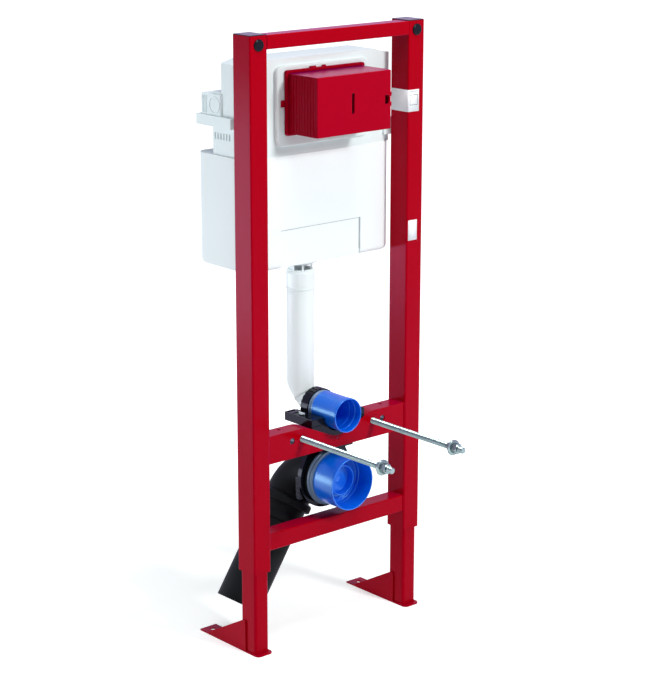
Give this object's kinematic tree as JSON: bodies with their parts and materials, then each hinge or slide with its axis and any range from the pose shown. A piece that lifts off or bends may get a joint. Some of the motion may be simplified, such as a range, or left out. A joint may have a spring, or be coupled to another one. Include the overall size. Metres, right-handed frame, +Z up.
{
  "type": "wall hung toilet frame",
  "caption": "Steel frame for a wall hung toilet: slim cistern, flush pipe, threaded rods, waste elbow with blue building caps, and telescopic legs on holed feet.",
  "frame": {"origin": "on the floor, midway between the posts, in the plane of the posts' front faces", "axes": "+X along the wall to the right as seen from the room, -Y towards the room, +Z up"},
  "size_m": [0.425, 0.458, 1.1855],
  "materials": {
    "frame_red": "gloss powder coat",
    "frame_plastic": "glossy black moulding",
    "leg_red": "gloss powder coat",
    "zinc": "bright zinc plated",
    "black_plastic": "satin black",
    "seal_grey": "matt rubber",
    "cap_blue": "glossy",
    "cistern_white": "satin moulding",
    "jacket_foam": "smooth moulded foam",
    "pipe_white": "glossy",
    "box_red": "gloss moulding"
  },
  "bodies": {
    "frame": {"left_post": "frame_red", "left_post_cap": "frame_plastic", "left_hole_plug": "frame_plastic", "left_leg_guide": "black_plastic", "left_rod": "zinc", "left_weld_nut": "frame_red", "left_spare_nut": "frame_red", "left_nut": "zinc", "left_washer": "zinc", "left_lock_nut": "zinc", "right_post": "frame_red", "right_post_cap": "frame_plastic", "right_hole_plug": "frame_plastic", "right_leg_guide": "black_plastic", "right_rod": "zinc", "right_weld_nut": "frame_red", "right_spare_nut": "frame_red", "right_nut": "zinc", "right_washer": "zinc", "right_lock_nut": "zinc", "top_beam": "frame_red", "lower_beam": "frame_red", "bolt_beam": "frame_red", "cistern_tank": "cistern_white", "cistern_jacket": "jacket_foam", "side_connection": "cistern_white", "inspection_surround": "cistern_white", "inspection_box": "box_red", "inspection_cover": "box_red", "outlet_collar": "pipe_white", "flush_pipe": "pipe_white", "flush_bracket": "black_plastic", "flush_clamp_ring": "black_plastic", "flush_seal": "seal_grey", "flush_cap": "cap_blue", "waste_elbow": "black_plastic", "waste_holder": "black_plastic", "waste_band": "zinc", "waste_seal": "seal_grey", "waste_cap": "cap_blue"},
    "left_leg_body": {"left_leg": "leg_red", "left_foot": "frame_red"},
    "right_leg_body": {"right_leg": "leg_red", "right_foot": "frame_red"}
  },
  "joints": [
    {"name": "left_leg_slide", "type": "slide", "parent": "frame", "child": "left_leg_body", "axis": [0, 0, -1], "range_m": [-0.01, 0.12]},
    {"name": "right_leg_slide", "type": "slide", "parent": "frame", "child": "right_leg_body", "axis": [0, 0, -1], "range_m": [-0.08, 0.12]}
  ]
}
